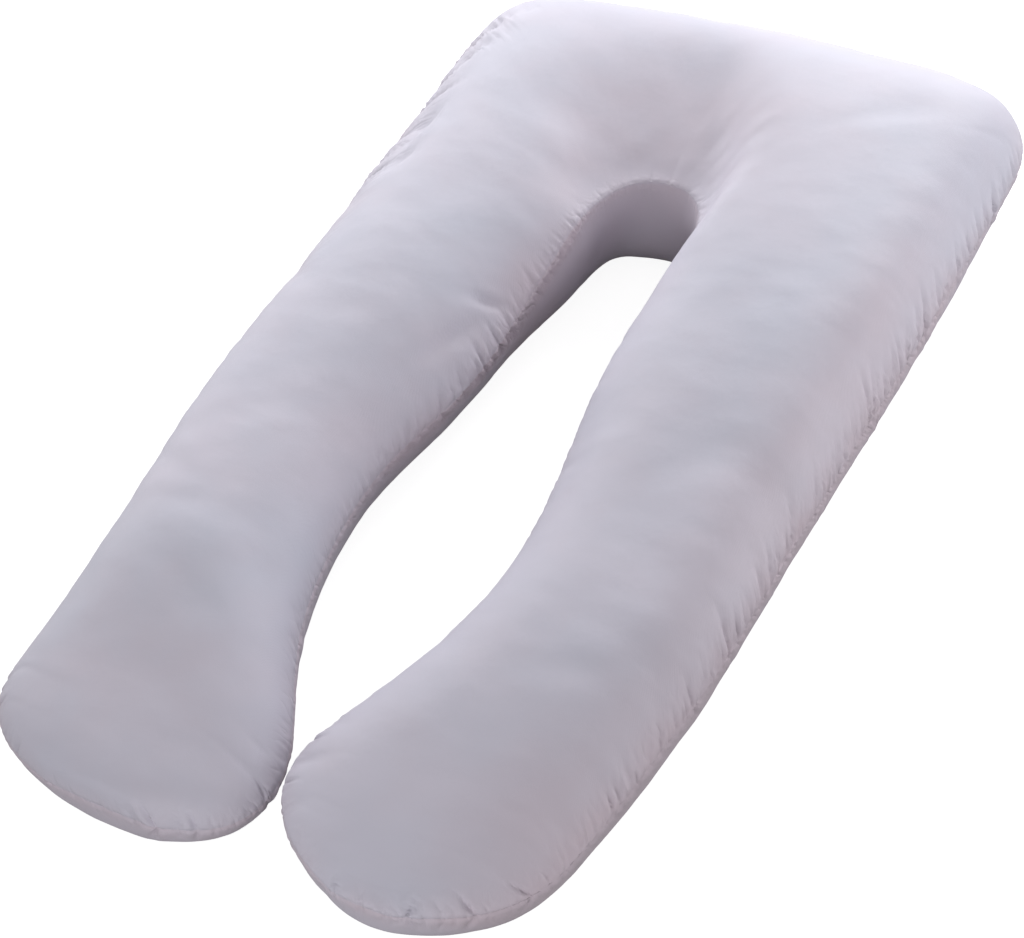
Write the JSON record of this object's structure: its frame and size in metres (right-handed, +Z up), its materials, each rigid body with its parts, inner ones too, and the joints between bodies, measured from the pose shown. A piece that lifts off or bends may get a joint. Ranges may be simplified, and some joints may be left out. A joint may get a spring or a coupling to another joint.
{
  "type": "body pillow",
  "caption": "U-shaped body pillow: a filled cloth cushion with long legs joined by a square closed end, sewn round its edge, lying on its back.",
  "frame": {"origin": "bottom centre of the whole pillow's box, on the surface that it lies on", "axes": "+X across the closed end, from the left leg to the right leg; +Y from the feet to the closed end; +Z up from the surface"},
  "size_m": [0.7698, 1.349, 0.2193],
  "materials": {
    "cover": "smooth satin cotton, light lavender grey"
  },
  "bodies": {
    "root": {"pillow": "cover"}
  },
  "joints": []
}
